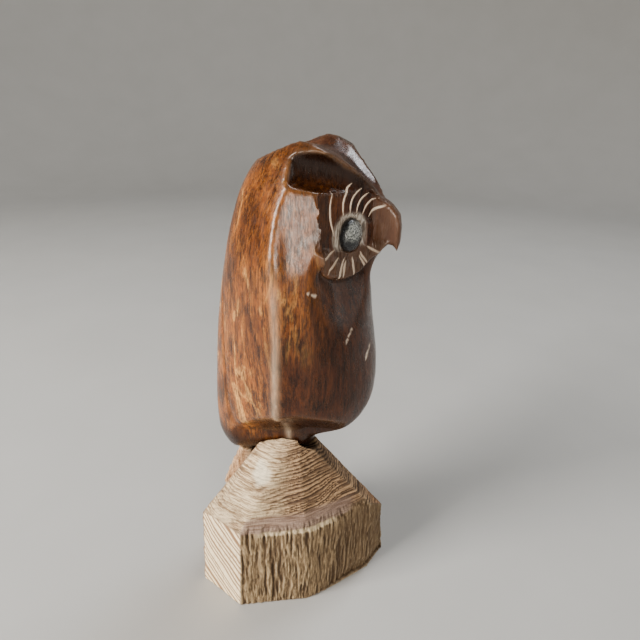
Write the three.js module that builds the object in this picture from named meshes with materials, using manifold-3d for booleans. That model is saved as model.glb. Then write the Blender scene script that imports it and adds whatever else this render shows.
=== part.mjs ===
// Carved wooden owl on a rough-cut base block.
// +Z is up, the owl looks along -Y, and x = 0 is its plane of symmetry.
import * as THREE from 'three';
import { ConvexGeometry } from 'three/addons/geometries/ConvexGeometry.js';
import { LoftGeometry } from 'three/addons/geometries/LoftGeometry.js';
import { mergeVertices } from 'three/addons/utils/BufferGeometryUtils.js';
import Module from 'manifold-3d';

const wasm = await Module();
wasm.setup();

// ---- driving dimensions, millimetres ----
const TOTAL_HEIGHT = 180;
const FIT_GAP = 0.3;
const SIDES = [-1, 1];

const ROUND_STEPS = 48;
const LOFT_ROWS = 44;
const QUARTER_STEPS = 14;

// Body rails, one row per height: front line, back line, half width at the wing edge,
// how far forward the wing edge sits, fullness of the breast and of the back.
const BODY_RAILS = [
  { z: 62, front: -12, back: 20, half: 11, wing: 2, breast: 2.2, backFull: 0.8 },
  { z: 65, front: -12.2, back: 24, half: 13, wing: 2, breast: 2.2, backFull: 0.8 },
  { z: 70, front: -13.8, back: 26.6, half: 15, wing: 1, breast: 2.2, backFull: 0.75 },
  { z: 76, front: -20, back: 27, half: 18, wing: 0, breast: 2.2, backFull: 0.65 },
  { z: 84, front: -28.4, back: 27, half: 22, wing: -3, breast: 2.2, backFull: 0.55 },
  { z: 91, front: -32.6, back: 26.6, half: 25.4, wing: -5, breast: 2.15, backFull: 0.5 },
  { z: 98, front: -34, back: 26, half: 27.6, wing: -6, breast: 2.1, backFull: 0.46 },
  { z: 107, front: -33.6, back: 25.2, half: 29, wing: -6.4, breast: 2.1, backFull: 0.45 },
  { z: 117, front: -32, back: 24, half: 30.2, wing: -6.4, breast: 2.1, backFull: 0.45 },
  { z: 128, front: -30.6, back: 22.4, half: 31, wing: -5.8, breast: 2.05, backFull: 0.46 },
  { z: 139, front: -30.8, back: 20.2, half: 31, wing: -5.4, breast: 1.95, backFull: 0.48 },
  { z: 148, front: -31.6, back: 17.8, half: 29.9, wing: -5.8, breast: 1.8, backFull: 0.52 },
  { z: 156, front: -32.2, back: 15.4, half: 28.4, wing: -6.8, breast: 1.75, backFull: 0.56 },
  { z: 163, front: -32.6, back: 13, half: 26.7, wing: -8, breast: 1.75, backFull: 0.6 },
  { z: 169, front: -32.6, back: 10, half: 24.4, wing: -9.6, breast: 1.75, backFull: 0.64 },
  { z: 174, front: -32.6, back: 6.2, half: 21.6, wing: -10.4, breast: 1.75, backFull: 0.66 },
  { z: 178, front: -32.6, back: 1.6, half: 18.4, wing: -10.4, breast: 1.75, backFull: 0.68 },
  { z: 181, front: -32.6, back: -4, half: 15, wing: -11, breast: 1.75, backFull: 0.7 },
];

// Side view of the brow crest, from the ear tip forward to the root of the beak: y, z.
const CREST_SIDE = [
  [-4, 178.4], [-9.7, TOTAL_HEIGHT], [-13.7, 179.5], [-19.1, 177], [-23.6, 173.2], [-28.6, 168.4],
  [-32.2, 163.2],
];
// Half distance between the two crests at the same stations.
const CREST_HALF = [17, 16, 14.4, 11.2, 8, 4.2, 0.6];
const CROWN_DEPTH = 3.4;

// Eye discs: flat cuts turned outward from the beak line, round below and squared off behind.
const DISC_TURN = THREE.MathUtils.degToRad(35);
const DISC_RADIUS = 14.2;
const DISC_REAR = 11.8;
const DISC_TOP = 12.7;
const DISC_CENTRE = new THREE.Vector3(11.6, -23.4, 154.8);

// Throat: facets cut back under the discs, so that a disc's lower edge stands proud.
// The corners are across, back and up from the disc's centre.
const DISC_LIP = 0.4;
const THROAT_CORNERS = [
  [-15, 1.2, -8], [-15, 1.2, -15], [-15, -6.4, -31], [-15, -12, -8], [-15, -12, -31],
  [5, 1.2, -8], [5, 1.2, -15], [5, -6.4, -31], [5, -12, -8], [5, -12, -31],
  [15, -5, -6], [15, -5, -14], [15, -8, -22], [15, -12, -6], [15, -12, -22],
];

// Brow scoops: tapering gouge cuts between the crest and the disc.
const SCOOP_REAR = new THREE.Vector3(29.6, -5.2, 176.6);
const SCOOP_FRONT = new THREE.Vector3(5.4, -34.3, 166.7);
const SCOOP_RADIUS_REAR = 6.6;
const SCOOP_RADIUS_FRONT = 3;
const SCOOP_END_Y = -9.2;

// Cheek facets: near-vertical flats behind the discs.
const CHEEK_POINT = new THREE.Vector3(26, -12, 157);
const CHEEK_TURN = THREE.MathUtils.degToRad(70);
const CHEEK_TILT = THREE.MathUtils.degToRad(12);

// Hooked beak in side view: y, z.
const BEAK_SIDE = [
  [-27, 139.6], [-30.6, 140.2], [-31.8, 145.3], [-33.2, 148.2], [-34.8, 149.9], [-36.4, 149.6],
  [-37.6, 147.6], [-38.3, 150.6], [-38.3, 155], [-37.5, 158.9], [-34.9, 161.8], [-31.4, 164], [-27, 165],
];
const BEAK_WIDTH = 3.6;
const BEAK_ROUND = 1.1;

// Inlaid eye beads, which look more nearly forward than the discs they sit in.
const EYE_CENTRE = new THREE.Vector3(10.2, -24.6, 153.9);
const EYE_TURN = THREE.MathUtils.degToRad(21);
const EYE_RADIUS = 4.9;
const EYE_DOME = 2.7;
const EYE_SEAT = 0.8;
const EYE_SHANK_RADIUS = 1.6;
const EYE_SHANK_LENGTH = 4;

// Keel: the polished body ends in a rounded keel that sits in a trough of the base.
const KEEL_RADIUS = 11.6;
const KEEL_HEIGHT = 64.6;
const KEEL_SLOPE = 0.2;
const KEEL_SIDE_TOP = 18;
const KEEL_FLARE = THREE.MathUtils.degToRad(42);

// Hidden dowel that joins the body to the base.
const DOWEL_RADIUS = 4;
const DOWEL_LENGTH = 30;
const DOWEL_BOTTOM = 50;
const DOWEL_CHAMFER = 0.8;

// Base block: corners of the foot, of the upper edge and of the stump round the keel.
const FOOT_CORNERS = [
  [-28.6, 10], [-21.4, 29.4], [-4, 33.6], [15, 31.6], [28.6, 13], [27, -20], [15, -41.8], [3.6, -37.4],
  [-9.6, -25.4], [-18.6, -15.6],
];
const UPPER_CORNERS = [
  [-28.3, 8.4, 39.6], [-24.2, 20.6, 41], [-20.4, 27.6, 38.6], [-7, 28, 31.6], [12, 26, 24.5],
  [25, 10, 29], [23, -20, 34], [12.4, -40.2, 29.5], [11, -38.5, 32.6], [2.6, -36.4, 38.6],
  [-9.8, -24.6, 37.2], [-18.6, -15, 37.4],
];
const STUMP_CORNERS = [
  [-12.2, -9, 79], [-12.8, -3, 78.6], [-12.6, 5.5, 73], [-7, 13, 58], [5, 13, 54], [11.6, 5, 60],
  [11.6, -2, 64], [10, -7, 64], [3, -12, 67], [-4, -12.4, 69], [-18, 3.4, 51],
];

// Tail stub: a rough lump of the block left standing behind the keel.
const TAIL_CORNERS = [
  [-6, 12, 61.4], [5, 12, 61.4], [-5, 17.4, 61.2], [4, 17.4, 61.2], [-7, 23, 47], [6, 23, 47],
  [-7.4, 24, 43.6], [6.4, 24, 43.6], [-9, 10, 40], [8, 10, 40],
];

// ---- materials ----
const polished = new THREE.MeshStandardMaterial({ color: 0x5a2f18, roughness: 0.3, metalness: 0 });
const rough = new THREE.MeshStandardMaterial({ color: 0x9c8570, roughness: 0.85, metalness: 0 });
const dowelWood = new THREE.MeshStandardMaterial({ color: 0xb08a5c, roughness: 0.7, metalness: 0 });
const bead = new THREE.MeshStandardMaterial({ color: 0x59646b, roughness: 0.25, metalness: 0 });
polished.name = 'polished_wood';
rough.name = 'rough_wood';
dowelWood.name = 'dowel_wood';
bead.name = 'eye_bead';

// ---- helpers ----
const toSolid = (geometry) => {
  const bare = geometry.index ? geometry.toNonIndexed() : geometry.clone();
  bare.deleteAttribute('normal');
  bare.deleteAttribute('uv');
  const merged = mergeVertices(bare, 1e-4);
  const corners = merged.index.array;
  const triVerts = [];
  for (let i = 0; i < corners.length; i += 3) {
    const [a, b, c] = corners.slice(i, i + 3);
    if (a !== b && b !== c && c !== a) {
      triVerts.push(a, b, c);
    }
  }
  return new wasm.Manifold(new wasm.Mesh({
    numProp: 3,
    vertProperties: new Float32Array(merged.attributes.position.array),
    triVerts: new Uint32Array(triVerts),
  }));
};

const toGeometry = (solid) => {
  const mesh = solid.getMesh();
  const geometry = new THREE.BufferGeometry();
  geometry.setAttribute('position', new THREE.BufferAttribute(new Float32Array(mesh.vertProperties), 3));
  geometry.setIndex(new THREE.BufferAttribute(new Uint32Array(mesh.triVerts), 1));
  const flat = geometry.toNonIndexed();
  flat.computeVertexNormals();
  return flat;
};

// Extrudes an outline given in side view (y, z) evenly to both sides of x = 0.
const sideSlab = (outline, width, bevel) => {
  const shape = new THREE.Shape(outline.map(([y, z]) => new THREE.Vector2(y, z)));
  const options = { depth: width, bevelEnabled: bevel > 0, bevelSize: bevel, bevelThickness: bevel };
  const geometry = new THREE.ExtrudeGeometry(shape, { ...options, bevelOffset: -bevel, bevelSegments: 2 });
  geometry.translate(0, 0, -width / 2);
  const toSide = new THREE.Matrix4().makeBasis(
    new THREE.Vector3(0, 1, 0), new THREE.Vector3(0, 0, 1), new THREE.Vector3(1, 0, 0));
  return toSolid(geometry.applyMatrix4(toSide));
};

const UP = new THREE.Vector3(0, 1, 0);
const mirrored = (solid, side) => (side < 0 ? solid.mirror([1, 0, 0]) : solid);

const hull = (corners) => toSolid(new ConvexGeometry(corners.map((c) => new THREE.Vector3(...c))));

// ---- body loft ----
const railCurve = (key) => new THREE.CatmullRomCurve3(
  BODY_RAILS.map((row) => new THREE.Vector3(row[key], 0, row.z)), false, 'catmullrom', 0.5);
const rails = {};
for (const key of ['front', 'back', 'half', 'wing', 'breast', 'backFull']) {
  rails[key] = railCurve(key);
}

const quarter = (angle, power) => new THREE.Vector2(
  Math.sin(angle) ** (2 / power), Math.cos(angle) ** (2 / power));

const bodySection = (t) => {
  const at = {};
  for (const [key, curve] of Object.entries(rails)) {
    at[key] = curve.getPoint(t).x;
  }
  const height = rails.front.getPoint(t).z;
  const rightHalf = [];
  for (let i = 0; i < QUARTER_STEPS; i += 1) {
    const p = quarter((i / QUARTER_STEPS) * (Math.PI / 2), at.breast);
    rightHalf.push([at.half * p.x, at.wing + (at.front - at.wing) * p.y]);
  }
  const backLine = new THREE.QuadraticBezierCurve(
    new THREE.Vector2(at.half, at.wing), new THREE.Vector2(at.half * at.backFull, at.back),
    new THREE.Vector2(0, at.back));
  for (const p of backLine.getPoints(QUARTER_STEPS)) {
    rightHalf.push([p.x, p.y]);
  }
  const leftHalf = rightHalf.slice(1, -1).reverse().map(([x, y]) => [-x, y]);
  return [...rightHalf, ...leftHalf].map(([x, y]) => new THREE.Vector3(x, y, height));
};

const sections = [];
for (let row = 0; row <= LOFT_ROWS; row += 1) {
  sections.push(bodySection(row / LOFT_ROWS));
}
let body = toSolid(new LoftGeometry(sections, { closed: true, capStart: true, capEnd: true }));

// ---- brow crest and crown valley ----
const HEAD_MASK = [
  [60, 20], [60, 181.5], [8, 181.5], [-1, 179.6], ...CREST_SIDE,
  [-34.5, 158], [-36, 140], [-60, 120], [-60, 20],
];
body = body.intersect(sideSlab(HEAD_MASK, 90, 0));

// The valley between the crests narrows to nothing at the root of the beak.
const valleySection = (index) => {
  const [y, z] = CREST_SIDE[index];
  const half = CREST_HALF[index];
  const depth = CROWN_DEPTH * Math.min(1, half / 9);
  const rise = 14;
  return [
    new THREE.Vector3(half + rise * 0.5, y, z + rise), new THREE.Vector3(-half - rise * 0.5, y, z + rise),
    new THREE.Vector3(-half, y, z), new THREE.Vector3(-half * 0.5, y, z - depth * 0.8),
    new THREE.Vector3(0, y, z - depth), new THREE.Vector3(half * 0.5, y, z - depth * 0.8),
    new THREE.Vector3(half, y, z),
  ];
};
const valleySections = CREST_SIDE.map((_, index) => valleySection(index));
const rearmost = valleySections[0].map((p) => new THREE.Vector3(p.x * 1.1, 14, p.z - (p.z > 180 ? 0 : 3.5)));
body = body.subtract(toSolid(new LoftGeometry(
  [rearmost, ...valleySections], { closed: true, capStart: true, capEnd: true })));

// ---- gouge cuts of the face, mirrored left and right ----
const discDepth = 20;
const discColumn = (radius, side) => {
  const column = new THREE.CylinderGeometry(radius, radius, 2 * discDepth, ROUND_STEPS);
  column.rotateZ(DISC_TURN * side);
  column.translate(DISC_CENTRE.x * side, DISC_CENTRE.y, DISC_CENTRE.z);
  return toSolid(column);
};
const discOutline = [new THREE.Vector2(DISC_REAR, DISC_TOP)];
const arcStart = Math.asin(DISC_TOP / DISC_RADIUS);
const arcEnd = 2 * Math.PI - Math.acos(DISC_REAR / DISC_RADIUS);
for (let i = 0; i <= ROUND_STEPS; i += 1) {
  const angle = THREE.MathUtils.lerp(arcStart, arcEnd, i / ROUND_STEPS);
  discOutline.push(new THREE.Vector2(DISC_RADIUS * Math.cos(angle), DISC_RADIUS * Math.sin(angle)));
}
const disc = new THREE.ExtrudeGeometry(new THREE.Shape(discOutline), { depth: discDepth, bevelEnabled: false });
disc.applyMatrix4(new THREE.Matrix4().makeBasis(
  new THREE.Vector3(1, 0, 0), new THREE.Vector3(0, 0, 1), new THREE.Vector3(0, -1, 0)));
disc.rotateZ(DISC_TURN);
disc.translate(...DISC_CENTRE.toArray());
const discCutter = toSolid(disc);

const throat = new ConvexGeometry(THROAT_CORNERS.map((corner) => new THREE.Vector3(...corner)));
throat.rotateZ(DISC_TURN);
throat.translate(...DISC_CENTRE.toArray());
let throatCut = mirrored(toSolid(throat), -1).add(toSolid(throat));
for (const side of SIDES) {
  throatCut = throatCut.subtract(discColumn(DISC_RADIUS - DISC_LIP, side));
}
body = body.subtract(throatCut);

for (const side of SIDES) {
  const along = SCOOP_REAR.clone().sub(SCOOP_FRONT);
  const scoop = new THREE.CylinderGeometry(
    SCOOP_RADIUS_REAR, SCOOP_RADIUS_FRONT, along.length(), ROUND_STEPS);
  scoop.applyQuaternion(new THREE.Quaternion().setFromUnitVectors(UP, along.clone().normalize()));
  scoop.translate(...SCOOP_REAR.clone().add(SCOOP_FRONT).multiplyScalar(0.5).toArray());
  body = body.subtract(mirrored(toSolid(scoop).trimByPlane([0, -1, 0], -SCOOP_END_Y), side));

  const cheekDepth = 12;
  const cheek = new THREE.BoxGeometry(30, cheekDepth, 44);
  cheek.translate(0, -cheekDepth / 2, 0);
  cheek.rotateX(-CHEEK_TILT);
  cheek.rotateZ(CHEEK_TURN * side);
  cheek.translate(CHEEK_POINT.x * side, CHEEK_POINT.y, CHEEK_POINT.z);
  body = body.subtract(toSolid(cheek));

  body = body.subtract(mirrored(discCutter, side));
}
body = body.add(sideSlab(BEAK_SIDE, BEAK_WIDTH, BEAK_ROUND));

// ---- inlaid eyes ----
const lathe = (profile) => new THREE.LatheGeometry(
  profile.map(([r, y]) => new THREE.Vector2(r, y)), ROUND_STEPS);

const domeProfile = [];
const DOME_STEPS = 8;
for (let i = 0; i <= DOME_STEPS; i += 1) {
  const angle = (i / DOME_STEPS) * (Math.PI / 2);
  domeProfile.push([EYE_RADIUS * Math.cos(angle), EYE_DOME * Math.sin(angle)]);
}
const eyeProfile = [
  [0, -EYE_SHANK_LENGTH], [EYE_SHANK_RADIUS, -EYE_SHANK_LENGTH], [EYE_SHANK_RADIUS, -EYE_SEAT],
  [EYE_RADIUS, -EYE_SEAT], ...domeProfile.slice(0, -1), [0, EYE_DOME],
];
const socketProfile = [
  [0, -EYE_SHANK_LENGTH - FIT_GAP], [EYE_SHANK_RADIUS + FIT_GAP, -EYE_SHANK_LENGTH - FIT_GAP],
  [EYE_SHANK_RADIUS + FIT_GAP, -EYE_SEAT - FIT_GAP], [EYE_RADIUS + FIT_GAP, -EYE_SEAT - FIT_GAP],
  [EYE_RADIUS + FIT_GAP, EYE_DOME + FIT_GAP], [0, EYE_DOME + FIT_GAP],
];

const placeEye = (geometry, side) => geometry
  .rotateX(Math.PI)
  .rotateZ(EYE_TURN * side)
  .translate(EYE_CENTRE.x * side, EYE_CENTRE.y, EYE_CENTRE.z);

for (const side of SIDES) {
  body = body.subtract(toSolid(placeEye(lathe(socketProfile), side)));
}

// ---- keel and its trough ----
const keelPrism = (gap) => {
  const radius = KEEL_RADIUS + gap;
  const reach = 40;
  const outline = [];
  const arcSteps = 10;
  for (let i = -arcSteps; i <= arcSteps; i += 1) {
    const angle = (i / arcSteps) * (Math.PI / 2);
    outline.push(new THREE.Vector2(radius * Math.sin(angle), KEEL_RADIUS - radius * Math.cos(angle)));
  }
  const flareSteps = 5;
  const flare = [];
  for (let i = 0; i <= flareSteps; i += 1) {
    const blend = (i / flareSteps) ** 2;
    flare.push([radius + 5 * blend, KEEL_SIDE_TOP - 5 + (i / flareSteps) * 5 + 3 * blend]);
  }
  const [lastX, lastZ] = flare[flareSteps];
  flare.push([lastX + reach * Math.cos(KEEL_FLARE), lastZ + reach * Math.sin(KEEL_FLARE)]);
  flare.push([lastX + reach * Math.cos(KEEL_FLARE), 150]);
  outline.push(...flare.map(([x, z]) => new THREE.Vector2(x, z)));
  outline.push(...flare.reverse().map(([x, z]) => new THREE.Vector2(-x, z)));
  const length = 120;
  const shape = new THREE.Shape(outline);
  const geometry = new THREE.ExtrudeGeometry(shape, { depth: length, bevelEnabled: false });
  geometry.translate(0, 0, -length / 2);
  geometry.rotateX(Math.PI / 2);
  const slope = new THREE.Matrix4().set(1, 0, 0, 0, 0, 1, 0, 0, 0, -KEEL_SLOPE, 1, KEEL_HEIGHT, 0, 0, 0, 1);
  return toSolid(geometry.applyMatrix4(slope));
};
body = body.intersect(keelPrism(0));

// ---- dowel and its two blind holes ----
const dowelTop = DOWEL_BOTTOM + DOWEL_LENGTH;
const dowel = toSolid(lathe([
  [0, DOWEL_BOTTOM], [DOWEL_RADIUS - DOWEL_CHAMFER, DOWEL_BOTTOM],
  [DOWEL_RADIUS, DOWEL_BOTTOM + DOWEL_CHAMFER], [DOWEL_RADIUS, dowelTop - DOWEL_CHAMFER],
  [DOWEL_RADIUS - DOWEL_CHAMFER, dowelTop], [0, dowelTop],
]).rotateX(Math.PI / 2));
const dowelHole = new THREE.CylinderGeometry(
  DOWEL_RADIUS + FIT_GAP, DOWEL_RADIUS + FIT_GAP, DOWEL_LENGTH + 2 * FIT_GAP, ROUND_STEPS);
dowelHole.rotateX(Math.PI / 2);
dowelHole.translate(0, 0, DOWEL_BOTTOM + DOWEL_LENGTH / 2);
const dowelBore = toSolid(dowelHole);
body = body.subtract(dowelBore);

// ---- base block ----
const foot = FOOT_CORNERS.map(([x, y]) => [x, y, 0]);
let base = hull([...foot, ...UPPER_CORNERS, ...STUMP_CORNERS]).add(hull(TAIL_CORNERS));
base = base.subtract(keelPrism(FIT_GAP)).subtract(dowelBore);

// ---- assembly, origin under the centre of the whole figure ----
const group = new THREE.Group();
group.name = 'carved_owl';
const addPiece = (name, solid, material) => {
  const mesh = new THREE.Mesh(toGeometry(solid), material);
  mesh.name = name;
  group.add(mesh);
};
addPiece('base_block', base, rough);
addPiece('owl_body', body, polished);
addPiece('neck_dowel', dowel, dowelWood);
addPiece('eye_right', toSolid(placeEye(lathe(eyeProfile), -1)), bead);
addPiece('eye_left', toSolid(placeEye(lathe(eyeProfile), 1)), bead);

const bounds = new THREE.Box3().setFromObject(group);
const centre = bounds.getCenter(new THREE.Vector3());
for (const mesh of group.children) {
  mesh.geometry.translate(-centre.x, -centre.y, -bounds.min.z);
}

export default group;
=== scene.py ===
"""The finished look of a carved wooden owl.

The body is polished, with cut face discs and inlaid beads, and it stands on a rough block.
"""
import math

import bmesh
import bpy
import numpy as np
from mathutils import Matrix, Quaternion, Vector
from mathutils.bvhtree import BVHTree


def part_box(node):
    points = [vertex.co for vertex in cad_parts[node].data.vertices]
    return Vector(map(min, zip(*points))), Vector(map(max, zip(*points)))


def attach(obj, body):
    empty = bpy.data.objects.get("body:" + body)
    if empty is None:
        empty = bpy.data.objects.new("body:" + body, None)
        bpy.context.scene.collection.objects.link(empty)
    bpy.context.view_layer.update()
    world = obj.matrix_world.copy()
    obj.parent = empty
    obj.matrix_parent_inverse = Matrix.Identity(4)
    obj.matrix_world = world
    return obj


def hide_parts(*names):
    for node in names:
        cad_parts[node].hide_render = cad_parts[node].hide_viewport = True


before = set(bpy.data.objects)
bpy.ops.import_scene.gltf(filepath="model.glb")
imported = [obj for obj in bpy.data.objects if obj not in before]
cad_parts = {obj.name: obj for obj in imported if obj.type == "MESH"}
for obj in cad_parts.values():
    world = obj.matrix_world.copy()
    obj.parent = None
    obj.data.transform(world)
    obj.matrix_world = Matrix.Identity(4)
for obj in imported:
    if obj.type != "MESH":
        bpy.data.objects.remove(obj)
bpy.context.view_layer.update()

MM = 0.001

# The owl's upright axis runs through the dowel that joins body and block.
DOWEL_LOW, DOWEL_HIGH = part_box("neck_dowel")
AXIS = np.array([(DOWEL_LOW.x + DOWEL_HIGH.x) / 2, (DOWEL_LOW.y + DOWEL_HIGH.y) / 2, 0.0])

# The sculpted detail: sizes in millimetres, turns in radians, and counts.
BODY_CELL = 0.86
BASE_CELL = 0.52
BEAD_CELL = 0.17
DISC_TURN = math.radians(35)
DISC_MIDDLE = (1.8, 0.9)
EYE_TURN = math.radians(21)
BROW_CUTS = 5
CUT_WIDTH = 0.42
CUT_DEPTH = 0.45
FRINGE_CUTS = 8
FRINGE_WIDTH = 0.55
FRINGE_DEPTH = 0.5
NICK_WIDTH = 0.3
NICK_DEPTH = 0.2
RIDGE_HEIGHT = 0.75
RIDGE_WIDTH = 2.3
HOLLOW_DEPTH = 0.35
HOLLOW_AHEAD = 6.5
REAR_STEP = 0.4
WAIST_LIFT = 4.2
SCOOP_REAR = np.array([29.6, -5.2, 176.6])
SCOOP_FRONT = np.array([5.4, -34.3, 166.7])
SCOOP_RADIUS = 6.6
SCOOP_TAPER = 3.6
FIBRE_DEPTH = 1.15
SAW_PITCH = 3.4
LAYER_STEP = 1.3
LAYER_RISE = 0.78
LAYER_DEPTH = 0.34
STUMP_DROP = 2.4
FOOT_WEAR = 1.6
DENTS = 260
DENT_RADIUS = 1.1
DENT_DEPTH = 0.16

# The studio, in metres and watts, and the camera.
FLOOR_RADIUS = 0.9
COVE_RADIUS = 0.6
COVE_STEPS = 12
WALL_TOP = 1.8
FLOOR_TURNS = 72
ROOM_LIGHT = 0.05
CAMERA_PLACE = (-0.1473, -0.0460, 0.191)
CAMERA_LENS = 27.06
CAMERA_HEADING = (0.970, 0.242)
CAMERA_PITCH = math.radians(25)
CAMERA_ROLL = math.radians(1.6)

# The mesh of the face discs is halved twice, for finer detail. Each pass has a reach and a depth.
FACE_PASSES = ((17.0, 9.0), (14.9, 5.0))


# ---------------------------------------------------------------- numbers

def smooth(low, high, value):
    """0 up to low and 1 from high on, with an S curve between. It falls where low is above high."""
    t = np.clip((value - low) / (high - low), 0, 1)
    return t * t * (3 - 2 * t)


def noise(p, cell, seed):
    """Smooth random values from -1 to 1 over points p, one new value every cell millimetres."""
    size = 32
    table = np.random.default_rng(seed).uniform(-1, 1, (size, size, size))
    q = p / np.asarray(cell, float)
    base = np.floor(q).astype(int)
    part = q - base
    part = part * part * (3 - 2 * part)
    total = np.zeros(len(p))
    for corner in range(8):
        step = np.array([corner & 1, (corner >> 1) & 1, corner >> 2])
        share = np.prod(np.where(step, part, 1 - part), axis=1)
        index = (base + step) % size
        total += share * table[index[:, 0], index[:, 1], index[:, 2]]
    return total


def layers_of_noise(p, cell, seed, octaves=3, fall=0.5):
    """Noise with finer and weaker noise laid over it."""
    cell = np.asarray(cell, float)
    total = np.zeros(len(p))
    weight = 1.0
    reach = 0.0
    for octave in range(octaves):
        total += weight * noise(p, cell / 2 ** octave, seed + octave)
        reach += weight
        weight *= fall
    return total / reach


def bezier(start, middle, end, count=18):
    """Points along a curve that leaves start, is drawn towards middle and reaches end."""
    t = np.linspace(0, 1, count)[:, None]
    start, middle, end = (np.asarray(v, float) for v in (start, middle, end))
    return (1 - t) ** 2 * start + 2 * t * (1 - t) * middle + t ** 2 * end


def away_from(points2, path):
    """How far each 2D point is from a path, and where along it, from 0 to 1, is nearest."""
    best = np.full(len(points2), 1e9)
    along = np.zeros(len(points2))
    count = len(path) - 1
    for k in range(count):
        a, b = path[k], path[k + 1]
        line = b - a
        t = np.clip((points2 - a) @ line / (line @ line), 0, 1)
        gap = np.linalg.norm(points2 - a - t[:, None] * line, axis=1)
        near = gap < best
        best[near] = gap[near]
        along[near] = (k + t[near]) / count
    return best, along


# ---------------------------------------------------------------- meshes

def points(mesh):
    co = np.empty(len(mesh.vertices) * 3)
    mesh.vertices.foreach_get("co", co)
    return co.reshape(-1, 3)


def normals(mesh):
    out = np.empty(len(mesh.vertices) * 3)
    mesh.vertex_normals.foreach_get("vector", out)
    return out.reshape(-1, 3)


def put_points(mesh, co):
    mesh.vertices.foreach_set("co", co.ravel())
    mesh.update()


def owl_mm(mesh):
    """A mesh's points in millimetres from the owl's axis."""
    return (points(mesh) - AXIS) / MM


def edge_ends(mesh):
    ends = np.empty(len(mesh.edges) * 2, int)
    mesh.edges.foreach_get("vertices", ends)
    return ends.reshape(-1, 2)


def neighbour_mean(values, ends, count):
    """The mean of each vertex's neighbours, for one number or three per vertex."""
    table = values.reshape(len(values), -1)
    out = np.empty_like(table)
    for k in range(table.shape[1]):
        total = np.bincount(ends[:, 0], table[ends[:, 1], k], len(table))
        total += np.bincount(ends[:, 1], table[ends[:, 0], k], len(table))
        out[:, k] = total / count
    return out.reshape(values.shape)


def relax(mesh, share, rounds):
    """Draws each vertex towards its neighbours, which rounds sharp edges as handling does."""
    co = points(mesh)
    share = np.broadcast_to(share, len(co))[:, None]
    ends = edge_ends(mesh)
    count = np.maximum(np.bincount(ends.ravel(), minlength=len(co)), 1)
    for _ in range(rounds):
        co += share * (neighbour_mean(co, ends, count) - co)
    put_points(mesh, co)


def column(values):
    """One number per point, repeated as x, y and z, so that noise can follow it alone."""
    return np.column_stack([values, values, values])


def bell(value, middle, width):
    """1 at middle, falling away evenly to both sides."""
    return np.exp(-((value - middle) / width) ** 2)


def to_left(vectors, sign):
    """Vectors mirrored onto the owl's left half, +X, from the half where x has this sign."""
    return np.column_stack([vectors[:, 0] * sign, vectors[:, 1:]])


def store(mesh, name, values):
    layer = mesh.attributes.new(name, "FLOAT", "POINT")
    layer.data.foreach_set("value", np.clip(values, 0, 1).astype(np.float32))


def store_curvature(mesh, gain):
    """Marks raised edges as worn, and hollows for painted shade, for the finish to follow."""
    co = points(mesh) / MM
    out = normals(mesh)
    ends = edge_ends(mesh)
    count = np.maximum(np.bincount(ends.ravel(), minlength=len(co)), 1)
    bend = np.einsum("ij,ij->i", neighbour_mean(co, ends, count) - co, out) * gain
    for _ in range(2):
        bend = 0.5 * bend + 0.5 * neighbour_mean(bend, ends, count)
    store(mesh, "worn", -bend)
    store(mesh, "hollow_shade", bend)


def dense_copy(node, name, cell):
    """An even, fine mesh of a CAD node, and the node's own surface as a tree to lay it on."""
    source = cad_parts[node].data
    bm = bmesh.new()
    bm.from_mesh(source)
    bmesh.ops.remove_doubles(bm, verts=bm.verts, dist=1e-6)
    tree = BVHTree.FromBMesh(bm)
    start = bpy.data.meshes.new(name + "_start")
    bm.to_mesh(start)
    bm.free()
    piece = bpy.data.objects.new(name, start)
    bpy.context.scene.collection.objects.link(piece)
    modifier = piece.modifiers.new("even", "REMESH")
    modifier.mode = "VOXEL"
    modifier.voxel_size = cell * MM
    graph = bpy.context.evaluated_depsgraph_get()
    mesh = bpy.data.meshes.new_from_object(piece.evaluated_get(graph))
    piece.modifiers.clear()
    piece.data = mesh
    mesh.name = name
    mesh.materials.clear()
    bpy.data.meshes.remove(start)
    return piece, tree


def lay_on(mesh, tree):
    """Moves every vertex to the nearest place on the surface that the tree holds."""
    co = points(mesh)
    for i, p in enumerate(co):
        co[i] = tree.find_nearest(p)[0]
    put_points(mesh, co)


def refine(mesh, chosen):
    """Halves each edge whose two ends are chosen, so that stretch can carry finer detail."""
    bm = bmesh.new()
    bm.from_mesh(mesh)
    bm.verts.ensure_lookup_table()
    edges = [e for e in bm.edges if chosen[e.verts[0].index] and chosen[e.verts[1].index]]
    bmesh.ops.subdivide_edges(bm, edges=edges, cuts=1, use_grid_fill=True)
    bm.to_mesh(mesh)
    bm.free()


def finish_mesh(mesh):
    """Triangles only, shaded smooth."""
    bm = bmesh.new()
    bm.from_mesh(mesh)
    bmesh.ops.triangulate(bm, faces=bm.faces)
    bm.to_mesh(mesh)
    bm.free()
    mesh.polygons.foreach_set("use_smooth", np.ones(len(mesh.polygons), bool))
    mesh.update()


# ---------------------------------------------------------------- the polished body

bead_low, bead_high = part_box("eye_left")
BEAD = (np.array([*(bead_low + bead_high) / 2]) - AXIS) / MM
OUTWARD = np.array([math.sin(DISC_TURN), -math.cos(DISC_TURN), 0])
REARWARD = np.array([math.cos(DISC_TURN), math.sin(DISC_TURN), 0])
EYE_AXIS = np.array([math.sin(EYE_TURN), -math.cos(EYE_TURN), 0])
# Each face disc is measured from here, a little off the bead's middle.
BEAD_FRONT = BEAD + 0.38 * OUTWARD - 0.28 * REARWARD


def disc_place(p):
    """Where points lie on their face disc: rearward and up from the bead, and out of plane."""
    q = np.column_stack([np.abs(p[:, 0]), p[:, 1], p[:, 2]]) - BEAD_FRONT
    return np.column_stack([q @ REARWARD, q[:, 2]]), q @ OUTWARD


def from_middle(across):
    """How far places on a face disc are from the disc's middle."""
    return np.linalg.norm(across - DISC_MIDDLE, axis=1)


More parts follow.
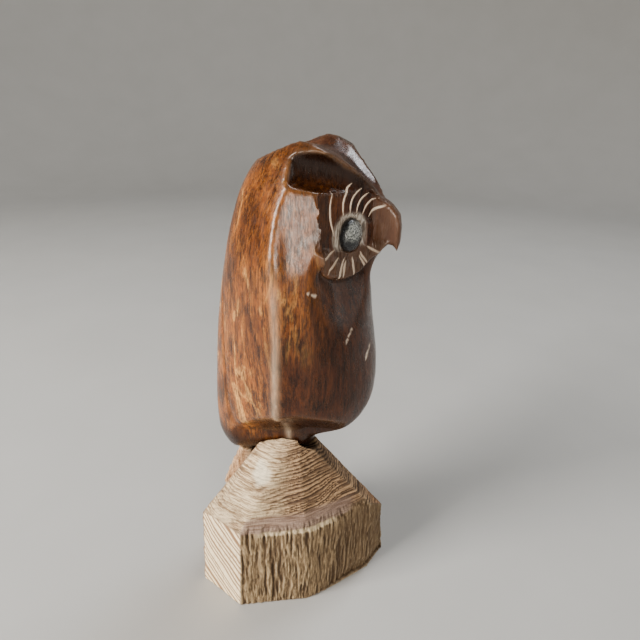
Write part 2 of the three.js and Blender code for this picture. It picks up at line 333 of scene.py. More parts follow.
def in_face(p, reach, depth):
    """Which points lie within reach of a disc's middle, and within depth of its plane."""
    across, lift = disc_place(p)
    return (from_middle(across) < reach) & (np.abs(lift) < depth)


def brow_paths():
    """The long cut behind the bead, and the row of shorter ones that fan over it."""
    paths = [bezier((7.6, 13.2), (9.8, 6.5), (6.0, 0.4))]
    for i in range(BROW_CUTS):
        t = i / (BROW_CUTS - 1)
        outer = np.array([-0.6 - 11.9 * t, 14.8 - 6.2 * t])
        inner = np.array([3 - 10.1 * t, 5.6 - t + 1.2 * math.sin(math.pi * t)])
        bow = np.array([3.9 - 3.2 * t, 1.6 - 0.7 * t])
        paths.append(bezier(outer, (outer + inner) / 2 + bow, inner))
    return paths


def fringe_paths():
    """Short cuts that fan out under the bead."""
    paths = []
    for i in range(FRINGE_CUTS):
        angle = math.radians(-30 - 112 * i / (FRINGE_CUTS - 1) - 5 * (i % 3))
        ray = np.array([math.cos(angle), math.sin(angle)])
        inner = ray * (6.8 + 0.9 * (i % 2))
        outer = ray * (12.4 + 0.6 * (i % 3)) + np.array([1.2 * math.cos(angle) + 0.6, 0])
        paths.append(bezier(inner, (inner + outer) / 2 + np.array([0.5, 0.1]), outer))
    return paths


def groove(across, paths, width, depth):
    """The dip that knife cuts along these paths leave, and a mark where the fresh wood shows."""
    dip = np.zeros(len(across))
    mark = np.zeros(len(across))
    for path in paths:
        gap, along = away_from(across, path)
        taper = np.sqrt(np.clip(np.sin(math.pi * np.clip(along, 0.02, 0.98)), 0, 1))
        shape = np.clip(1 - gap / (width * taper), 0, 1)
        dip = np.maximum(dip, depth * taper * shape)
        mark = np.maximum(mark, smooth(0.05, 0.5, shape))
    return dip, mark


def carve_face(p, out):
    """The cut detail of both face discs: how far each point moves out, and its finish marks."""
    across, lift = disc_place(p)
    s, v = across.T
    facing = smooth(0.1, 0.5, to_left(out, np.sign(p[:, 0])) @ OUTWARD)
    spread = from_middle(across)
    disc = facing * smooth(15.2, 13.4, spread) * smooth(6, 4, np.abs(lift))
    radius = np.hypot(s, v)
    # Bare cuts over the bead, and a raised fringe with cuts of its own under it.
    under = smooth(-3.2, -5.2, v - 0.12 * np.abs(s))
    brow_dip, brow_mark = groove(across, brow_paths(), CUT_WIDTH, CUT_DEPTH)
    fringe_dip, fringe_mark = groove(across, fringe_paths(), FRINGE_WIDTH, FRINGE_DEPTH)
    lift_out = -brow_dip * (1 - under)
    lift_out += under * (0.2 + 0.9 * smooth(6.5, 12, radius) - fringe_dip)
    # The throat just outside the disc is set back, and painted darker there: painted shade under
    # the fringe.
    below = smooth(14.2, 14.6, spread) * smooth(19, 15, spread) * smooth(-6, -9, v)
    # The skin round the bead is dished, and a narrow gap parts the disc from the beak.
    dish = smooth(8.0, 6.0, radius) * (1 - under)
    dish *= smooth(7.4, 5.6, v - 0.1 * s) * smooth(-6.6, -5, s)
    gap_dip, _ = groove(across, [bezier((-9.7, 3.5), (-9.9, -2), (-9.3, -8.5))], 1.0, 1.1)
    lift_out -= gap_dip
    lift_out -= 0.5 * dish
    # The lores stand up between the bead and that gap.
    lores = smooth(2.0, 1.2, np.abs(s + 7.2 - 0.12 * v)) * smooth(6.5, 4.5, np.abs(v + 2))
    lift_out += 0.8 * lores * (1 - 0.5 * under)
    # The rear rim is flecked, the rest is finely grained, and the fringe is rippled.
    flecks = smooth(8.4, 9.4, s) * smooth(-7, -4, v)
    lift_out += 0.16 * flecks * layers_of_noise(p, (0.9, 0.9, 2.4), 41)
    lift_out += 0.09 * (1 - flecks) * layers_of_noise(p, (0.8, 0.8, 1.6), 47)
    feather = np.sin(radius * 1.2 + 7 * noise(p, 5, 44)) * under
    lift_out += 0.15 * feather
    marks = {
        "cut": disc * np.maximum(brow_mark * (1 - under), 0.62 * fringe_mark * under),
        "dish": disc * dish,
        "ring": disc * flecks,
        "fringe": disc * under,
        "throat": facing * below,
    }
    return disc * lift_out - 0.5 * facing * below, marks


body, body_tree = dense_copy("owl_body", "owl_body_carved", BODY_CELL)
body_mesh = body.data
lay_on(body_mesh, body_tree)
p = owl_mm(body_mesh)
across, _ = disc_place(p)

# The throat, and the body behind the breast, are rounded before anything is cut.
throat_zone = smooth(13.8, 15.0, from_middle(across)) * smooth(-7, -11, across[:, 1])
throat_zone *= smooth(118, 124, p[:, 2])
flank = smooth(146, 136, p[:, 2]) * smooth(-22, -12, p[:, 1])
relax(body_mesh, 0.6 * throat_zone, 60)
relax(body_mesh, 0.6 * flank, 8)
corners = [face.vertices[:] for face in body_mesh.polygons]
settled = BVHTree.FromPolygons(points(body_mesh).tolist(), corners)
for reach, depth in FACE_PASSES:
    refine(body_mesh, in_face(owl_mm(body_mesh), reach, depth))
lay_on(body_mesh, settled)
relax(body_mesh, 0.5, 2)

p = owl_mm(body_mesh)
out = normals(body_mesh)
x, y, z = p.T
side = np.abs(x)
face_move, face_marks = carve_face(p, out)
push = 0.16 * layers_of_noise(p, (9, 9, 16), 3) + 0.03 * layers_of_noise(p, (1.6, 1.6, 4), 5)

# The wing's front edge is a soft ridge down each side, where the back turns into the breast.
bow = np.cos((z - 130) / 26 * math.pi / 2) * smooth(96, 110, z)
wing_edge = -7.0 - 0.9 * bow + 1.6 * smooth(108, 84, z)
flat_side = smooth(20, 24, side)
ridge = bell(y, wing_edge, RIDGE_WIDTH) * flat_side * smooth(74, 90, z) * smooth(166, 150, z)
hollow = bell(y, wing_edge - HOLLOW_AHEAD, 3.0) * flat_side
hollow *= smooth(80, 96, z) * smooth(150, 136, z)
push += RIDGE_HEIGHT * ridge - HOLLOW_DEPTH * hollow

# A thin pale line along the ridge is a painted highlight.
painted_ridge_highlight = 0.6 * bell(y, wing_edge, 1.2) * smooth(9, 11, side)
painted_ridge_highlight *= smooth(63, 70, z) * smooth(150, 136, z)
painted_ridge_highlight *= 0.55 + 0.45 * layers_of_noise(p, (3, 3, 11), 51)

# A shallow step runs down each side of the back, and ends in a notch above the tail.
rear_path = bezier((11.0, 142), (14.8, 118), (13.8, 80))
rear_gap, rear_along = away_from(np.column_stack([side, z]), rear_path)
rear = smooth(1.3, 0.1, rear_gap) * smooth(8, 13, y) * smooth(0.02, 0.3, rear_along)
rear *= smooth(78, 82, z)
push -= REAR_STEP * rear

# Small knocks and slips of the knife on the right breast and shoulder.
nicks = [
    bezier((-16.0, 141.0), (-17.4, 139.6), (-18.8, 139.4), 5),
    bezier((-26.3, 121.9), (-26.6, 123.8), (-27.2, 125.8), 5),
    bezier((-31.6, 112.4), (-31.6, 114), (-31.9, 115.8), 5),
]
nick_dip, nick_mark = groove(np.column_stack([y, z]), nicks, NICK_WIDTH, NICK_DEPTH)
right_side = x < -4
nick_mark *= right_side
push -= nick_dip * right_side

moved = p + out * push[:, None]
# The breast draws in to the keel in a higher, tighter curve.
moved[:, 2] += WAIST_LIFT * smooth(88, 73, z) * smooth(-9, -13.5, y) * smooth(66, 69.5, z)
facing_out = OUTWARD * np.column_stack([np.sign(x), np.ones((len(x), 2))])
moved += facing_out * face_move[:, None]
put_points(body_mesh, moved * MM + AXIS)

# Golden sapwood lies behind. The golden tone on the back is partly painted light from the window
# side, and the golden wash over the cheeks is a painted reflection.
golden_and_lit = smooth(-16, 12, y + 4 * layers_of_noise(p, (6, 6, 20), 11)) * smooth(62, 78, z)
cheek_reflection = 0.6 * smooth(-26, -12, y) * smooth(112, 134, z) * smooth(178, 165, z)
golden_and_lit = np.maximum(golden_and_lit, cheek_reflection)
store(body_mesh, "golden_and_lit", golden_and_lit)

# The gouged hollow over each disc is painted darker than the polished skin round it: painted shade,
# lighter towards its lower edge.
line = SCOOP_FRONT - SCOOP_REAR
q = np.column_stack([side, y, z])
t = np.clip((q - SCOOP_REAR) @ line / (line @ line), 0, 1)
nearest = SCOOP_REAR + t[:, None] * line
gap = np.linalg.norm(q - nearest, axis=1)
shade = smooth(1.0, 0.2, gap - (SCOOP_RADIUS - SCOOP_TAPER * t))
shade *= 0.35 + 0.65 * smooth(-4.5, 1.0, z - nearest[:, 2])
store(body_mesh, "scoop_shade", shade * smooth(-8.6, -9.4, y))
store(body_mesh, "cut", np.maximum(face_marks["cut"], 0.7 * nick_mark))
for mark in ("dish", "ring", "fringe", "throat"):
    store(body_mesh, mark, face_marks[mark])
store(body_mesh, "painted_ridge_highlight", painted_ridge_highlight)
store(body_mesh, "bill", smooth(-28, -31, y) * smooth(138, 142, z) * smooth(168, 163, z))

# The underside and the keel are painted darker than the rest: painted shade under the belly.
under = smooth(98, 80, z) * smooth(0.35, -0.2, out[:, 2]) * smooth(12, -6, y)
store(body_mesh, "under", np.maximum(under, smooth(80, 71, z)))
store_curvature(body_mesh, 7.0)
finish_mesh(body_mesh)


# ---------------------------------------------------------------- the rough block

# Directions out of three of its faces, along the sawn end, and across the growth layers.
FRONT_FACE = np.array([-0.77, -0.638, 0])
SAWN_FACE = np.array([-0.937, 0.348, 0])
ALONG_SAWN = np.array([-0.348, -0.937, 0])
RED_FACE = np.array([-0.235, 0.972, 0])
LAYERS_ACROSS = np.array([-0.2, -0.3, -0.93])

base, base_tree = dense_copy("base_block", "rough_block", BASE_CELL)
base_mesh = base.data
lay_on(base_mesh, base_tree)
relax(base_mesh, 0.5, 2)

p = owl_mm(base_mesh)
out = normals(base_mesh)
x, y, z = p.T
side = np.abs(x)

# What each stretch of the surface is: planed bevel, pale lip, sawn end, torn face, sloping top.
upright = smooth(0.5, 0.25, np.abs(out[:, 2])) * smooth(44, 40, z)
bottom = smooth(-0.6, -0.9, out[:, 2]) * smooth(3, 1, z)
torn = upright * smooth(0.66, 0.8, out @ FRONT_FACE)
rise_line = z + 1.2 * layers_of_noise(p, (9, 9, 9), 34)
frontal = smooth(0.5, 0.75, out @ FRONT_FACE)
planed = smooth(39.2, 40.2, rise_line) * smooth(47.5, 45, rise_line) * frontal * smooth(-31, -27, y)
lip = smooth(37.6, 38.2, rise_line) * smooth(40.2, 39.4, rise_line) * frontal
lip *= smooth(-26, -22, y) * smooth(4, 0, y)
sawn = upright * smooth(0.86, 0.95, out @ SAWN_FACE)
other = upright * (1 - torn) * (1 - sawn)
top = (1 - upright) * (1 - bottom)

# Torn fibres stand in upright, splintered columns.
bent = p + np.column_stack([
    0.7 * layers_of_noise(p, (7, 7, 12), 21),
    0.7 * layers_of_noise(p, (7, 7, 12), 22),
    np.zeros(len(p)),
])
columns = 1 - np.abs(layers_of_noise(bent, (1.4, 1.4, 19), 23, 3, 0.65))
splinters = 1 - 2 * np.abs(layers_of_noise(bent, (0.85, 0.85, 7), 24, 3, 0.7))
torn_move = FIBRE_DEPTH * (columns - 0.8) * 1.3 + 0.42 * (splinters - 0.5)

# Saw strokes slant across the end face.
stroke = z + 0.86 * (p @ ALONG_SAWN) + 0.8 * noise(p, (9, 9, 9), 25)
stroke_wave = np.sin(stroke * 2 * math.pi / SAW_PITCH + 3.2 * noise(column(stroke), 5, 26))
sawn_move = 0.1 * stroke_wave + 0.12 * layers_of_noise(p, (1.4, 1.4, 3), 27)

# The growth layers come out on the sloping facets as torn steps.
layer_place = p @ LAYERS_ACROSS + 3.6 * layers_of_noise(p, (16, 16, 16), 28, 2)
layer_place += 0.16 * noise(p, (2.4, 2.4, 2.4), 29)
layer_place += 1.1 * noise(column(layer_place), 2.6, 33)
layer_part = np.mod(layer_place / LAYER_STEP, 1.0)
rising = layer_part / LAYER_RISE
falling = (1 - layer_part) / (1 - LAYER_RISE)
layer_saw = np.where(layer_part < LAYER_RISE, rising, falling)
layer_force = 0.3 + 0.9 * smooth(-0.3, 0.5, layers_of_noise(p, (6, 6, 6), 30))
top_move = LAYER_DEPTH * layer_force * (layer_saw - 0.5)
top_move += 0.26 * layers_of_noise(p, (1.2, 1.2, 1.2), 31)

tail = smooth(12, 17, y) * smooth(38, 44, z) * smooth(11, 8, side)
top_move += 0.8 * tail * layers_of_noise(p, (1.8, 1.8, 5), 36)
top_move += 0.35 * tail * layers_of_noise(p, (0.9, 0.9, 3), 39)

push = torn * torn_move + sawn * sawn_move + other * (0.75 * torn_move + 0.05 * stroke_wave)
push += top * (1 - 0.85 * np.maximum(planed, lip)) * top_move
push += 0.3 * (1 - bottom) * layers_of_noise(p, (11, 11, 11), 32)
moved = p + out * push[:, None] * (1 - bottom)[:, None]
# The stump's high corner is pared down, and the foot of the torn face is worn back.
moved[:, 2] -= STUMP_DROP * smooth(70, 79, z) * smooth(-3, -9, x)
foot = torn * smooth(9, 0, z) * smooth(-18, -30, y)
moved -= FRONT_FACE * (FOOT_WEAR * foot)[:, None]
moved[:, 2] = np.maximum(moved[:, 2], 0)
put_points(base_mesh, moved * MM + AXIS)

store(base_mesh, "torn", torn + 0.7 * other)
# Torn fibres are coloured by height: pale ridges and dark grooves, and the dark in the grooves is
# partly painted shade.
store(base_mesh, "height", np.clip(0.5 + torn_move * 0.42, 0, 1) * (torn + other))
store(base_mesh, "sawn", sawn)
store(base_mesh, "stroke", 0.5 + 0.5 * stroke_wave)
store(base_mesh, "layer", layer_saw * top)
store(base_mesh, "top", top)
store(base_mesh, "red", smooth(0.7, 0.9, out @ RED_FACE))
store(base_mesh, "warm", smooth(2, 22, x) * top + smooth(50, 62, z) * smooth(0, 12, y))
patch = np.linalg.norm((p - (-18.4, 3.0, 63.5)) / (1, 1, 1.5), axis=1) + 0.9 * noise(p, 2, 35)
store(base_mesh, "near_neck", smooth(4.4, 2.4, patch))
store(base_mesh, "tail", tail)
store(base_mesh, "planed", planed)
# Painted shade: the upright faces towards the front right are darker, on the side away from the
# window.
store(base_mesh, "painted_side_shade", upright * (0.2 + 0.8 * smooth(-12, -34, y)) * smooth(-24, -16, x))
store(base_mesh, "lip", lip)
# The top facets towards the window are paler: partly chalky wood, partly painted light.
store(base_mesh, "chalk_and_lit", top * smooth(-10, 2, y) * smooth(-2, -10, x))
store_curvature(base_mesh, 5.0)
finish_mesh(base_mesh)


# ---------------------------------------------------------------- the beads

def hammered_bead(node, name, seed):
    """A domed bead with small hammer dimples."""
    piece, tree = dense_copy(node, name, BEAD_CELL)
    mesh = piece.data
    lay_on(mesh, tree)
    relax(mesh, 0.5, 2)
    p = owl_mm(mesh)
    out = normals(mesh)
    sign = np.sign(p[:, 0].mean())
    centre = BEAD * np.array([sign, 1, 1])
    random = np.random.default_rng(seed)
    dents = centre + random.uniform(-6, 6, (DENTS, 3))
    gap = np.full(len(p), 9.0)
    for dent in dents:
        gap = np.minimum(gap, np.linalg.norm(p - dent, axis=1))
    shown = smooth(0.2, 0.5, to_left(out, sign) @ OUTWARD)
    push = -DENT_DEPTH * shown * np.clip(1 - gap / DENT_RADIUS, 0, 1)
    push += 0.05 * shown * layers_of_noise(p, 0.5, seed + 1)
    put_points(mesh, (p + out * push[:, None]) * MM + AXIS)
    height = p[:, 2] - centre[2] + 0.8 * layers_of_noise(p, 1.3, seed + 2)
    rim = np.linalg.norm(np.cross(p - centre, EYE_AXIS * [sign, 1, 1]), axis=1)
    # The upper part is marked for a grey bloom, partly a painted reflection of light from above.
    bloom_and_sheen = smooth(-1.9, 0.6, height) * smooth(4.8, 4.1, rim)
    store(mesh, "haze_and_sheen", bloom_and_sheen * (0.75 + 0.25 * noise(p, 0.4, seed + 3)))
    store_curvature(mesh, 12.0)
    finish_mesh(mesh)
    return piece


bead_left = hammered_bead("eye_left", "bead_left", 61)
bead_right = hammered_bead("eye_right", "bead_right", 71)


# ---------------------------------------------------------------- finishes

class Finish:
    """A material's node tree, built up with short calls that return sockets."""

    def __init__(self, name):
        self.material = bpy.data.materials.new(name)
        self.material.use_nodes = True
        self.tree = self.material.node_tree
        self.tree.nodes.clear()
        self.shader = self.node("ShaderNodeBsdfPrincipled")
        output = self.node("ShaderNodeOutputMaterial")
        self.tree.links.new(self.shader.outputs[0], output.inputs["Surface"])
        self.place = self.node("ShaderNodeTexCoord").outputs["Object"]

    def node(self, kind, **settings):
        made = self.tree.nodes.new(kind)
        for key, value in settings.items():
            setattr(made, key, value)
        return made

    def feed(self, socket, value):
        if isinstance(value, bpy.types.NodeSocket):
            self.tree.links.new(value, socket)
        elif isinstance(value, tuple) and len(value) == 3 and socket.type == "RGBA":
            socket.default_value = (*value, 1)
        else:
            socket.default_value = value

    def stretched(self, x, y, z):
        """Object coordinates in cells of x, y and z millimetres."""
        made = self.node("ShaderNodeMapping")
        self.feed(made.inputs["Vector"], self.place)
        made.inputs["Scale"].default_value = (1 / (x * MM), 1 / (y * MM), 1 / (z * MM))
        return made.outputs[0]

    def noise(self, where, detail=3.0, rough=0.55, twist=0.0):
        made = self.node("ShaderNodeTexNoise")
        self.feed(made.inputs["Vector"], where)
        made.inputs["Scale"].default_value = 1
        made.inputs["Detail"].default_value = detail
        made.inputs["Roughness"].default_value = rough
        made.inputs["Distortion"].default_value = twist
        return made.outputs[0]

    def mark(self, name):
        return self.node("ShaderNodeAttribute", attribute_name=name).outputs["Fac"]

    def span(self, value, low, high, to_low=0.0, to_high=1.0):
        """Maps low..high to to_low..to_high with soft ends."""
        made = self.node("ShaderNodeMapRange", interpolation_type="SMOOTHSTEP")
        ends = {"From Min": low, "From Max": high, "To Min": to_low, "To Max": to_high}
        for key, item in {"Value": value, **ends}.items():
            self.feed(made.inputs[key], item)
        return made.outputs[0]

    def sum(self, operation, a, b):
        made = self.node("ShaderNodeMath", operation=operation)
        self.feed(made.inputs[0], a)
        self.feed(made.inputs[1], b)
        return made.outputs[0]

    def mix(self, share, a, b):
        made = self.node("ShaderNodeMix", data_type="RGBA")
        self.feed(made.inputs["Factor"], share)
        self.feed(made.inputs[6], a)
        self.feed(made.inputs[7], b)
        return made.outputs[2]

    def bump(self, height, distance, strength=1.0, under=None):
        made = self.node("ShaderNodeBump")
        made.inputs["Strength"].default_value = strength
        made.inputs["Distance"].default_value = distance * MM
        self.feed(made.inputs["Height"], height)
        if under is not None:
            self.feed(made.inputs["Normal"], under)
        return made.outputs[0]


def polished_finish():
    """Dark oiled ironwood: golden sapwood behind, chocolate heartwood in front, upright grain, with
    painted light, shade and highlights laid into the colour.
    """
    f = Finish("polished_ironwood")
    broad = f.noise(f.stretched(9, 9, 20), 4, 0.62, 0.8)
    cloud = f.noise(f.stretched(4.2, 4.2, 8), 4, 0.65, 0.5)
    streak = f.noise(f.stretched(0.85, 0.85, 13), 5, 0.7, 0.6)
    fine = f.noise(f.stretched(0.5, 0.5, 4.6), 3, 0.62, 0.3)
    pore = f.noise(f.stretched(0.26, 0.26, 1.3), 2, 0.5, 0.0)
    heart = f.mix(f.span(cloud, 0.36, 0.66), (0.01, 0.003, 0.0013), (0.05, 0.014, 0.005))
    heart = f.mix(f.span(streak, 0.4, 0.64, 0, 0.55), heart, (0.12, 0.038, 0.012))
    gold = f.mix(f.span(cloud, 0.36, 0.6), (0.06, 0.017, 0.005), (0.25, 0.078, 0.017))
    gold = f.mix(f.span(streak, 0.42, 0.64, 0, 0.7), gold, (0.48, 0.19, 0.045))
    gold = f.mix(f.span(broad, 0.56, 0.66, 0, 0.65), gold, (0.70, 0.38, 0.13))
    # The golden tone holds painted light on the window side and a painted reflection on the cheeks.
    golden_and_lit = f.sum("MULTIPLY", f.mark("golden_and_lit"), f.span(broad, 0.36, 0.54, 0.3, 1.0))
    colour = f.mix(golden_and_lit, heart, gold)
    colour = f.mix(f.span(fine, 0.5, 0.64, 0, 0.75), colour, (0.028, 0.009, 0.004))
    colour = f.mix(f.span(pore, 0.58, 0.68, 0, 0.65), colour, (0.014, 0.005, 0.003))
    # Painted shade in the gouged hollows over the discs.
    colour = f.mix(f.sum("MULTIPLY", f.mark("scoop_shade"), 0.85), colour, (0.016, 0.007, 0.004))
    colour = f.mix(f.sum("MULTIPLY", f.mark("worn"), 0.4), colour, (0.36, 0.2, 0.1))
    # Painted shade in the hollows.
    colour = f.mix(f.sum("MULTIPLY", f.mark("hollow_shade"), 0.7), colour, (0.012, 0.006, 0.004))
    bill = f.sum("MULTIPLY", f.mark("bill"), f.span(cloud, 0.3, 0.6, 0.75, 0.45))
    colour = f.mix(bill, colour, (0.16, 0.085, 0.052))
    ring = f.sum("MULTIPLY", f.mark("ring"), f.span(fine, 0.35, 0.6, 0.85, 0.4))
    colour = f.mix(ring, colour, (0.035, 0.018, 0.011))
    fringe = f.sum("MULTIPLY", f.mark("fringe"), f.span(fine, 0.4, 0.6, 0.3, 0.75))
    colour = f.mix(fringe, colour, (0.115, 0.07, 0.045))
    # The pale dish round each bead is partly paler wood and partly a painted reflection.
    dish = f.sum("MULTIPLY", f.mark("dish"), f.span(fine, 0.38, 0.6, 0.25, 0.85))
    colour = f.mix(dish, colour, (0.62, 0.57, 0.50))
    # Painted shade on the throat under the fringe.
    colour = f.mix(f.sum("MULTIPLY", f.mark("throat"), 0.6), colour, (0.015, 0.007, 0.004))
    colour = f.mix(f.mark("cut"), colour, (0.75, 0.63, 0.51))
    # Painted shade on the underside and keel.
    colour = f.mix(f.sum("MULTIPLY", f.mark("under"), 0.85), colour, (0.018, 0.006, 0.003))
    # The painted highlight along the wing ridge.
    painted_ridge_highlight = f.sum("MULTIPLY", f.mark("painted_ridge_highlight"), f.span(fine, 0.3, 0.55, 0.85, 0.5))
    colour = f.mix(painted_ridge_highlight, colour, (0.78, 0.64, 0.48))
    f.feed(f.shader.inputs["Base Color"], colour)
    rough = f.sum("ADD", f.span(cloud, 0.3, 0.7, 0.1, 0.24), f.span(fine, 0.4, 0.62, 0.08, 0.2))
    rough = f.sum("ADD", rough, f.sum("MULTIPLY", f.mark("cut"), 0.3))
    f.feed(f.shader.inputs["Roughness"], rough)
    f.shader.inputs["Specular IOR Level"].default_value = 0.42
    f.shader.inputs["Coat Weight"].default_value = 0.15
    f.shader.inputs["Coat Roughness"].default_value = 0.2
    grain = f.bump(streak, 0.08, 0.4)
    grain = f.bump(fine, 0.07, 0.5, grain)
    f.feed(f.shader.inputs["Normal"], grain)
    return f.material


def rough_finish():
    """Unpolished ironwood: grey-beige torn fibre, pale saw strokes, layers and orange heart."""
    f = Finish("rough_ironwood")
    broad = f.noise(f.stretched(10, 10, 10), 3, 0.6, 0.4)
    fibre = f.noise(f.stretched(0.5, 0.5, 7), 4, 0.7, 0.4)
    speck = f.noise(f.stretched(0.5, 0.5, 0.5), 3, 0.6)
    layered = f.noise(f.stretched(9, 9, 0.5), 4, 0.65, 0.5)
    plain = f.mix(f.span(broad, 0.35, 0.65), (0.30, 0.22, 0.145), (0.19, 0.125, 0.08))
    # Pale ridges and dark grooves; the dark in the grooves is partly painted shade.
    torn = f.mix(f.span(f.mark("height"), 0.3, 0.8), (0.08, 0.05, 0.028), (0.46, 0.34, 0.2))
    torn = f.mix(f.span(fibre, 0.4, 0.6, 0, 0.65), torn, (0.12, 0.076, 0.042))
    colour = f.mix(f.mark("torn"), plain, torn)
    # Painted shade on the front right faces.
    painted_side_shade = f.sum("MULTIPLY", f.mark("painted_side_shade"), f.span(broad, 0.3, 0.6, 0.8, 0.55))
    colour = f.mix(painted_side_shade, colour, (0.085, 0.05, 0.026))
    lines = f.mix(f.span(f.mark("stroke"), 0.0, 0.7), (0.27, 0.165, 0.095), (0.80, 0.66, 0.45))
    lines = f.mix(f.span(fibre, 0.48, 0.68, 0, 0.45), lines, (0.3, 0.2, 0.12))
    colour = f.mix(f.mark("sawn"), colour, lines)
    steps = f.mix(f.span(f.mark("layer"), 0.15, 0.85), (0.07, 0.038, 0.022), (0.42, 0.28, 0.165))
    steps = f.mix(f.span(layered, 0.45, 0.62, 0, 0.75), steps, (0.085, 0.048, 0.03))
    bright = f.mix(f.span(layered, 0.4, 0.6), (0.60, 0.29, 0.13), (0.13, 0.055, 0.03))
    steps = f.mix(f.sum("MULTIPLY", f.mark("warm"), f.span(broad, 0.42, 0.6)), steps, bright)
    # Pale top facets on the window side: partly chalky wood, partly painted light.
    chalk_and_lit = f.mix(f.span(layered, 0.42, 0.6), (0.68, 0.56, 0.38), (0.24, 0.16, 0.09))
    chalk_and_lit_share = f.sum("MULTIPLY", f.mark("chalk_and_lit"), f.span(broad, 0.35, 0.6, 0.3, 0.85))
    steps = f.mix(chalk_and_lit_share, steps, chalk_and_lit)
    colour = f.mix(f.mark("top"), colour, steps)
    smoothed = f.mix(f.span(layered, 0.4, 0.65), (0.29, 0.21, 0.17), (0.17, 0.108, 0.08))
    colour = f.mix(f.sum("MULTIPLY", f.mark("planed"), 0.85), colour, smoothed)
    lip = f.sum("MULTIPLY", f.mark("lip"), f.span(broad, 0.35, 0.55))
    colour = f.mix(lip, colour, (0.52, 0.42, 0.28))
    reddish = f.mix(f.span(fibre, 0.38, 0.62), (0.24, 0.115, 0.062), (0.085, 0.036, 0.02))
    colour = f.mix(f.sum("MULTIPLY", f.mark("red"), 0.7), colour, reddish)
    colour = f.mix(f.sum("MULTIPLY", f.mark("near_neck"), 0.45), colour, (0.74, 0.70, 0.56))
    stub = f.mix(f.span(fibre, 0.36, 0.6), (0.70, 0.45, 0.27), (0.28, 0.15, 0.08))
    colour = f.mix(f.sum("MULTIPLY", f.mark("tail"), 0.8), colour, stub)
    colour = f.mix(f.sum("MULTIPLY", f.mark("worn"), 0.5), colour, (0.60, 0.50, 0.35))
    # Painted shade in the hollows.
    colour = f.mix(f.sum("MULTIPLY", f.mark("hollow_shade"), 0.8), colour, (0.025, 0.014, 0.008))
    colour = f.mix(f.span(speck, 0.55, 0.75, 0, 0.35), colour, (0.09, 0.056, 0.036))
    f.feed(f.shader.inputs["Base Color"], colour)
    dull = f.span(fibre, 0.3, 0.7, 0.6, 0.9)
    dull = f.sum("SUBTRACT", dull, f.sum("MULTIPLY", f.mark("planed"), 0.25))
    f.feed(f.shader.inputs["Roughness"], dull)
    f.shader.inputs["Specular IOR Level"].default_value = 0.35
    rise = f.bump(fibre, 0.35, 0.5)
    rise = f.bump(speck, 0.2, 0.4, rise)
    f.feed(f.shader.inputs["Normal"], rise)
    return f.material


def bead_finish():
    """A near-black glossy bead with a grey bloom over its upper part, partly a painted reflection
    of light from above.
    """
    f = Finish("dark_bead")
    speck = f.noise(f.stretched(0.45, 0.45, 0.45), 4, 0.7)
    bloom_and_sheen = f.mix(f.span(speck, 0.35, 0.65), (0.09, 0.10, 0.105), (0.50, 0.52, 0.49))
    share = f.sum("MULTIPLY", f.mark("haze_and_sheen"), f.span(speck, 0.3, 0.55, 0.45, 1.0))
    colour = f.mix(share, (0.012, 0.013, 0.015), bloom_and_sheen)
    colour = f.mix(f.sum("MULTIPLY", f.mark("worn"), 0.4), colour, (0.42, 0.44, 0.44))
    f.feed(f.shader.inputs["Base Color"], colour)
    f.feed(f.shader.inputs["Roughness"], f.span(speck, 0.3, 0.7, 0.16, 0.42))
    f.shader.inputs["Coat Weight"].default_value = 0.3
    f.feed(f.shader.inputs["Normal"], f.bump(speck, 0.1, 0.4))
    return f.material


def dowel_finish():
    """Plain pale hardwood dowel with fine upright grain."""
    f = Finish("pale_dowel_wood")
    grain = f.noise(f.stretched(0.5, 0.5, 9), 3, 0.6, 0.3)
    colour = f.mix(f.span(grain, 0.35, 0.65), (0.52, 0.36, 0.2), (0.34, 0.21, 0.11))
    f.feed(f.shader.inputs["Base Color"], colour)
    f.feed(f.shader.inputs["Roughness"], f.span(grain, 0.3, 0.7, 0.5, 0.7))
    f.feed(f.shader.inputs["Normal"], f.bump(grain, 0.1, 0.4))
    return f.material


def floor_finish():
    """A plain pale matt surface."""
    f = Finish("pale_floor")
    dust = f.noise(f.stretched(60, 60, 60), 3, 0.5)
    f.feed(f.shader.inputs["Base Color"], f.mix(dust, (0.42, 0.415, 0.40), (0.46, 0.455, 0.44)))
    f.shader.inputs["Roughness"].default_value = 0.7
    return f.material


for piece, finish, node, slot in (
    (body, polished_finish(), "owl_body", "polished_wood"),
    (base, rough_finish(), "base_block", "rough_wood"),
):
    piece.data.materials.append(finish)
    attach(piece, "root")
    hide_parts(node)

bead_look = bead_finish()
for piece, node in ((bead_left, "eye_left"), (bead_right, "eye_right")):
    piece.data.materials.append(bead_look)
    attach(piece, "root")
    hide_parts(node)

dowel_look = dowel_finish()
for material_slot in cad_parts["neck_dowel"].material_slots:
    material_slot.material = dowel_look


# ---------------------------------------------------------------- floor, light and camera

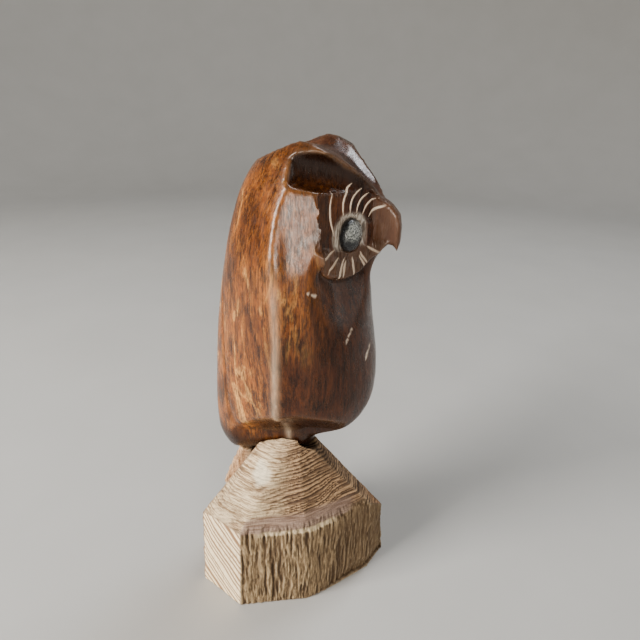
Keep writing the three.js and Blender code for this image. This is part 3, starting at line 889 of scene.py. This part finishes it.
def make_floor():
    """A round floor that curves up far away into a soft wall."""
    profile = [(FLOOR_RADIUS, 0)]
    for k in range(1, COVE_STEPS + 1):
        angle = k / COVE_STEPS * math.pi / 2
        radius = FLOOR_RADIUS + COVE_RADIUS * math.sin(angle)
        profile.append((radius, COVE_RADIUS * (1 - math.cos(angle))))
    profile.append((FLOOR_RADIUS + COVE_RADIUS, WALL_TOP))
    bm = bmesh.new()
    rings = []
    for radius, height in profile:
        ring = []
        for i in range(FLOOR_TURNS):
            angle = 2 * math.pi * i / FLOOR_TURNS
            ring.append(bm.verts.new((radius * math.cos(angle), radius * math.sin(angle), height)))
        rings.append(ring)
    bm.faces.new(rings[0])
    for low, high in zip(rings, rings[1:]):
        for i in range(FLOOR_TURNS):
            j = (i + 1) % FLOOR_TURNS
            bm.faces.new((low[j], low[i], high[i], high[j]))
    mesh = bpy.data.meshes.new("floor")
    bm.to_mesh(mesh)
    bm.free()
    mesh.polygons.foreach_set("use_smooth", np.ones(len(mesh.polygons), bool))
    floor = bpy.data.objects.new("floor", mesh)
    bpy.context.scene.collection.objects.link(floor)
    mesh.materials.append(floor_finish())
    return floor


make_floor()

bpy.context.scene.view_settings.look = "AgX - Medium High Contrast"
world = bpy.data.worlds.new("soft_room")
bpy.context.scene.world = world
world.use_nodes = True
background = world.node_tree.nodes["Background"]
background.inputs["Color"].default_value = (0.9, 0.94, 1.0, 1)
background.inputs["Strength"].default_value = ROOM_LIGHT


def soft_light(name, place, target, width, height, power, colour):
    """A rectangular light at place, facing target."""
    data = bpy.data.lights.new(name, "AREA")
    data.shape = "RECTANGLE"
    data.size = width
    data.size_y = height
    data.energy = power
    data.color = colour
    light = bpy.data.objects.new(name, data)
    bpy.context.scene.collection.objects.link(light)
    light.location = place
    facing = Vector(target) - Vector(place)
    light.rotation_euler = facing.to_track_quat("-Z", "Y").to_euler()
    light.visible_camera = False


soft_light("window", (-0.62, 0.66, 0.5), (0, 0, 0.1), 0.42, 0.7, 19, (1.0, 0.97, 0.93))
soft_light("ceiling", (0.45, -0.28, 1.0), (0, 0, 0.14), 0.35, 0.35, 5, (0.93, 0.96, 1.0))
soft_light("room", (-0.93, -0.4, 0.315), (0, 0, 0.14), 0.42, 0.32, 5.5, (1.0, 0.93, 0.84))
soft_light("fill", (0.3, -0.95, 0.4), (0, 0, 0.1), 0.6, 0.6, 1.1, (1.0, 0.97, 0.93))

camera_data = bpy.data.cameras.new("camera")
camera_data.sensor_width = 36
camera_data.lens = CAMERA_LENS
camera_data.clip_start = 0.01
camera = bpy.data.objects.new("camera", camera_data)
bpy.context.scene.collection.objects.link(camera)
camera.location = CAMERA_PLACE
level = math.cos(CAMERA_PITCH)
ahead = Vector((CAMERA_HEADING[0] * level, CAMERA_HEADING[1] * level, -math.sin(CAMERA_PITCH)))
roll = Quaternion((0, 0, 1), CAMERA_ROLL)
camera.rotation_euler = (ahead.to_track_quat("-Z", "Y") @ roll).to_euler()
bpy.context.scene.camera = camera
